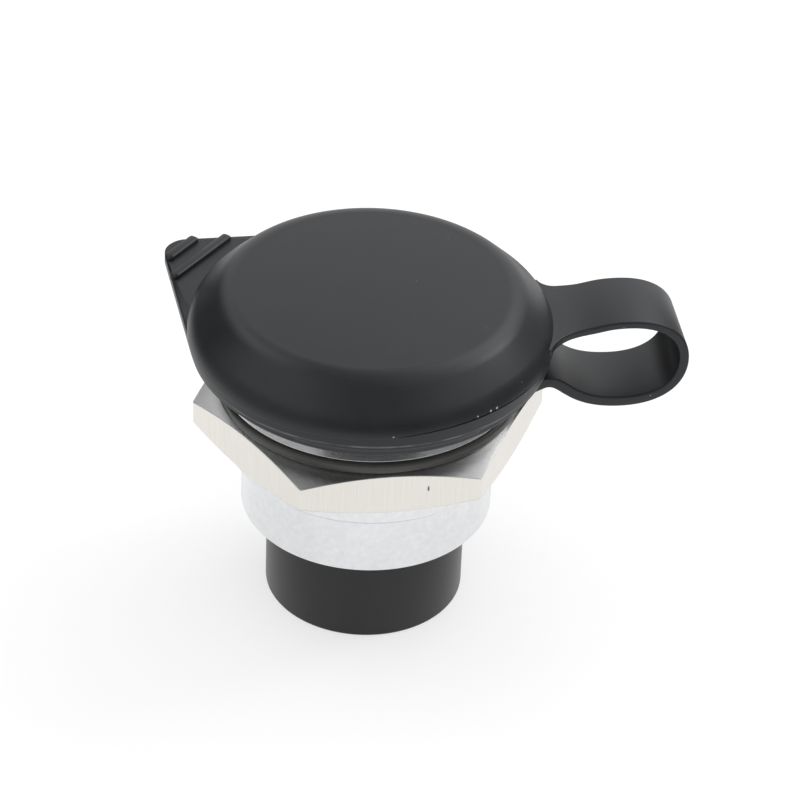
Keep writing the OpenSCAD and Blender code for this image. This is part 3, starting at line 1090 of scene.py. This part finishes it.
def section(point, along, thick):
    """The strap's cross-section at one station."""
    normal = np.array([-along[1], along[0]]) / np.linalg.norm(along)
    half_t = thick / 2
    points = []
    for side, up, start in ((1, -1, -90), (1, 1, 0), (-1, 1, 90), (-1, -1, 180)):
        wide = half_width(point[0], point[1], side)
        for a in np.radians(np.linspace(start, start + 90, 6)):
            y = side * (wide - strap_edge) + strap_edge * math.cos(a)
            n = up * (half_t - strap_edge) + strap_edge * math.sin(a)
            points.append((point[0] + normal[0] * n, y, point[1] + normal[1] * n))
    return points


bm = bmesh.new()
slopes = np.gradient(line, axis=0)
loft(bm, [section(p, s, t) for p, s, t in zip(line, slopes, along_line)], ends=True)
washer = turned([
    (ring_in_r, z_flange - ring_t, 0.1),
    (ring_r, z_flange - ring_t, 0.32),
    (ring_r, z_flange, 0.32),
    (ring_in_r, z_flange, 0.1),
])
loft(bm, washer, closed=True, bands=[1] * len(washer))
strap = piece("strap_and_ring", bm, [rubber, gasket], "tether")
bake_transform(strap)

# %% [markdown]
# ## Floor and sky
# A product shot like this one stands on a pale sweep in a bright tent. More lamps could bleach the floor,
# but they would bleach the object too. So the floor keeps the shadow, and a share of it glows for the
# camera and for reflections, as an over-lit sweep does. The sky is plain white for those rays, and sheds
# a little more than that on the object.

# %% Stage
scene = bpy.context.scene
scene.view_settings.view_transform = "Standard"


def seen_rays(bench):
    """1 for rays that show a surface to the camera, straight or by a mirror or glass."""
    found = [bench.node("ShaderNodeLightPath", {}, {}, out=f"Is {kind} Ray")
             for kind in ("Camera", "Glossy", "Transmission")]
    return (found[0] + found[1] + found[2]) > 0.5


def stage_plane(name, corners, material):
    """A flat card or floor that is not part of the object."""
    bm = bmesh.new()
    bm.faces.new([bm.verts.new(c) for c in corners])
    mesh = bpy.data.meshes.new(name)
    bm.to_mesh(mesh)
    bm.free()
    mesh.materials.append(material)
    made = bpy.data.objects.new(name, mesh)
    scene.collection.objects.link(made)
    return made


# %% Floor
FLOOR_SIZE = 4.0
FLOOR = 0.95
GLOW = 0.56


def floor_wires(bench):
    return {"Base Color": bench.mix(bench.noise(40.0), grey(FLOOR * 0.99), grey(FLOOR))}


pale_floor = finish("pale_floor", {"Roughness": 1.0, "Specular IOR Level": 0.0}, floor_wires)
bench = Bench(pale_floor.node_tree)
glow = bench.node("ShaderNodeEmission", {}, {"Color": grey(1.0), "Strength": 1.0})
matt = Wire(bench, pale_floor.node_tree.nodes["Principled BSDF"].outputs[0])
both = bench.node("ShaderNodeMixShader", {}, {0: GLOW * seen_rays(bench), 1: matt, 2: glow})
bench.plug(pale_floor.node_tree.nodes["Material Output"].inputs["Surface"], both)
far = FLOOR_SIZE / 2
stage_plane("floor", [(-far, -far, 0), (far, -far, 0), (far, far, 0), (-far, far, 0)], pale_floor)

# %% Sky
SKY = 1.02

world = bpy.data.worlds.new("studio")
scene.world = world
world.use_nodes = True
sky = Bench(world.node_tree)
background = world.node_tree.nodes["Background"].inputs
background["Color"].default_value = grey(1.0)
sky.plug(background["Strength"], SKY + (1.0 - SKY) * seen_rays(sky))
print("sky:", SKY, "floor:", FLOOR, "glow:", GLOW)

# %% [markdown]
# ## Lamps and cards
# Shiny and satin surfaces are drawn by what they mirror. Three weak soft boxes stand high behind the object
# and on its right. Dark cards stand where the photograph's room was dark: behind the camera, overhead, low
# in front and on both sides, and close behind the barrel. Less light would dim the floor as well. The cards
# only show in reflections, so they shade the dome, the flange and the nut and leave the floor bright.

# %% Lamps
def soft_box(name, place, size, power):
    """An area lamp that faces the object."""
    light = bpy.data.lights.new(name, "AREA")
    light.size = size
    light.energy = power
    lamp = bpy.data.objects.new(name, light)
    lamp.location = place
    lamp.rotation_euler = Vector(place).to_track_quat("Z", "Y").to_euler()
    scene.collection.objects.link(lamp)
    print(f"{name}: {power} W")


soft_box("box_left", (-0.22, 0.215, 0.45), 0.2, 0.2)
soft_box("box_right", (0.27, 0.25, 0.43), 0.24, 0.4)
soft_box("box_side", (0.42, 0.08, 0.36), 0.16, 0.55)


# %% Cards
def card(name, corners, level):
    """A matt card that only reflections show."""
    matt = finish(name, {"Roughness": 1.0, "Specular IOR Level": 0.0}, lambda bench: {
        "Base Color": bench.mix(bench.noise(20.0), grey(level * 0.9), grey(level * 1.1))})
    made = stage_plane(name, corners, matt)
    made.visible_camera = False
    made.visible_diffuse = False
    made.visible_shadow = False


def upright(start, end, height):
    """Corners of a standing card between two places on the floor."""
    return [(*start, 0), (*end, 0), (*end, height), (*start, height)]


card("card_behind_camera", upright((-0.45, -0.5), (0.45, -0.5), 0.9), 0.3)
card("card_low_front", upright((-0.08, -0.1), (0.08, -0.1), 0.055), 0.04)
card("card_low_left", upright((-0.08, -0.1), (-0.1, 0.03), 0.065), 0.3)
card("card_low_right", upright((0.05, -0.1), (0.068, 0.055), 0.055), 0.2)
card("card_left", upright((-0.1, 0.03), (-0.065, 0.09), 0.1), 0.04)
card("card_back_left", upright((-0.065, 0.09), (-0.04, 0.108), 0.065), 0.04)
card("card_behind", upright((0.0, 0.025), (0.022, 0.025), 0.018), 0.04)
overhead = [(-0.26, -0.5, 0.6), (0.12, -0.5, 0.6), (0.12, 0.45, 0.6), (-0.26, 0.45, 0.6)]
card("card_overhead", overhead, 0.15)

# %% [markdown]
# ## The camera
# The photograph looks down on the adapter from the front, a little to the left, with a long lens. A Track
# To constraint could aim the camera, but not roll it. So its matrix is made from the direction to a point
# on the axis and a small roll, and the lens is shifted so that the picture is framed the same.

# %% Camera
AZIMUTH = math.radians(-9)
ELEVATION = math.radians(37)
ROLL = math.radians(1.9)
DISTANCE = 0.2896
AIM = Vector((0, 0, 0.013575))
SENSOR = 36
LENS = 165.2
SHIFT = (0.0405, 0.0494)

camera_data = bpy.data.cameras.new("camera")
camera_data.sensor_width = SENSOR
camera_data.lens = LENS
camera_data.shift_x, camera_data.shift_y = SHIFT
camera = bpy.data.objects.new("camera", camera_data)
back = Vector((
    math.sin(AZIMUTH) * math.cos(ELEVATION),
    -math.cos(AZIMUTH) * math.cos(ELEVATION),
    math.sin(ELEVATION),
))
aimed = back.to_track_quat("Z", "Y").to_matrix().to_4x4()
camera.matrix_world = Matrix.Translation(AIM + back * DISTANCE) @ aimed @ Matrix.Rotation(ROLL, 4, "Z")
scene.collection.objects.link(camera)
scene.camera = camera
print("camera at (mm):", [round(v / MM, 1) for v in camera.matrix_world.translation])
